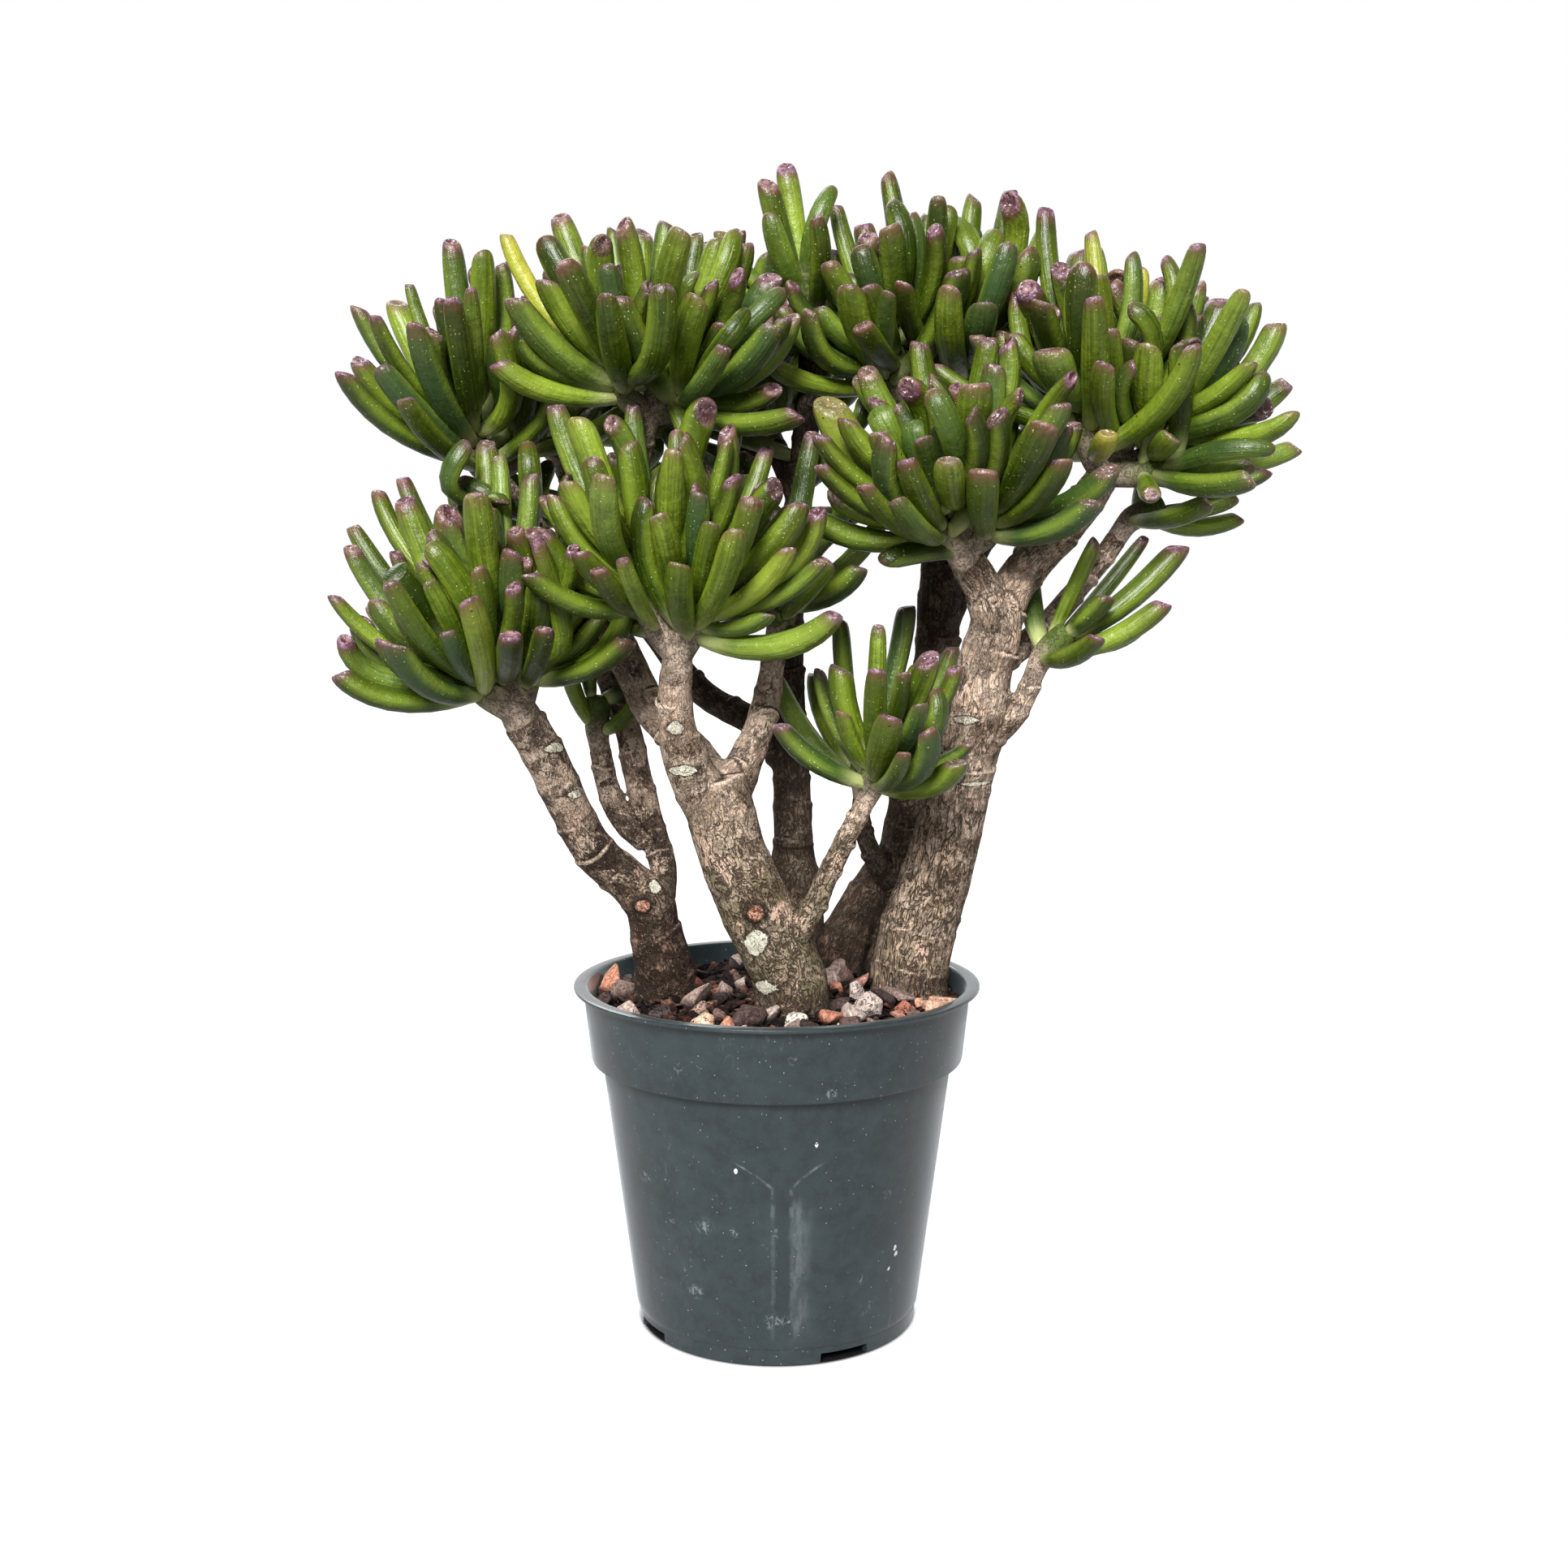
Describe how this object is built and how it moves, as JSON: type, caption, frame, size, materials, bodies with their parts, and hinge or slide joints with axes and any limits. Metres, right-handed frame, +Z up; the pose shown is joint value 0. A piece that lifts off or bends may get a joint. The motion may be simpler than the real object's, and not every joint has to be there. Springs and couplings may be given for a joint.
{
  "type": "trumpet jade in a nursery pot",
  "caption": "Bushy succulent with tubular, dish-tipped green leaves on thick grey-brown stems, growing in a round plastic nursery pot topped with lava stones.",
  "frame": {"origin": "middle of the pot's underside, on the surface that the pot stands on", "axes": "+Z up along the pot's axis, -Y towards the plant's front, +X to its right"},
  "size_m": [0.3976, 0.2441, 0.4913],
  "materials": {
    "pot_plastic": "semi-gloss, dusty",
    "soil": "matte, damp peat and bark",
    "stone_tan": "rough",
    "stone_grey": "rough",
    "stone_red": "rough",
    "stone_dark": "rough",
    "bark": "matte bark",
    "leaf": "waxy"
  },
  "bodies": {
    "root": {"pot": "pot_plastic", "soil": "soil", "stone_1": "stone_tan", "stone_2": "stone_tan", "stone_3": "stone_grey", "stone_4": "stone_grey", "stone_5": "stone_grey", "stone_6": "stone_grey", "stone_7": "stone_red", "stone_8": "stone_red", "stone_9": "stone_grey", "stone_10": "stone_dark", "stone_11": "stone_dark", "stone_12": "stone_tan", "stem_left": "bark", "stem_centre": "bark", "stem_right": "bark", "stem_back": "bark", "stem_back_right": "bark", "spray_left_top": "leaf", "spray_centre_left": "leaf", "spray_back_top": "leaf", "spray_back_right": "leaf", "spray_right": "leaf", "spray_right_low": "leaf", "spray_front_right": "leaf", "spray_front": "leaf", "spray_centre_small": "leaf", "spray_left_low": "leaf", "spray_twig": "leaf", "spray_side_right": "leaf", "spray_left_shoot": "leaf", "spray_back_left": "leaf", "spray_back_middle": "leaf", "spray_back_inner": "leaf", "spray_back_far_right": "leaf", "spray_back_twig": "leaf"}
  },
  "joints": []
}
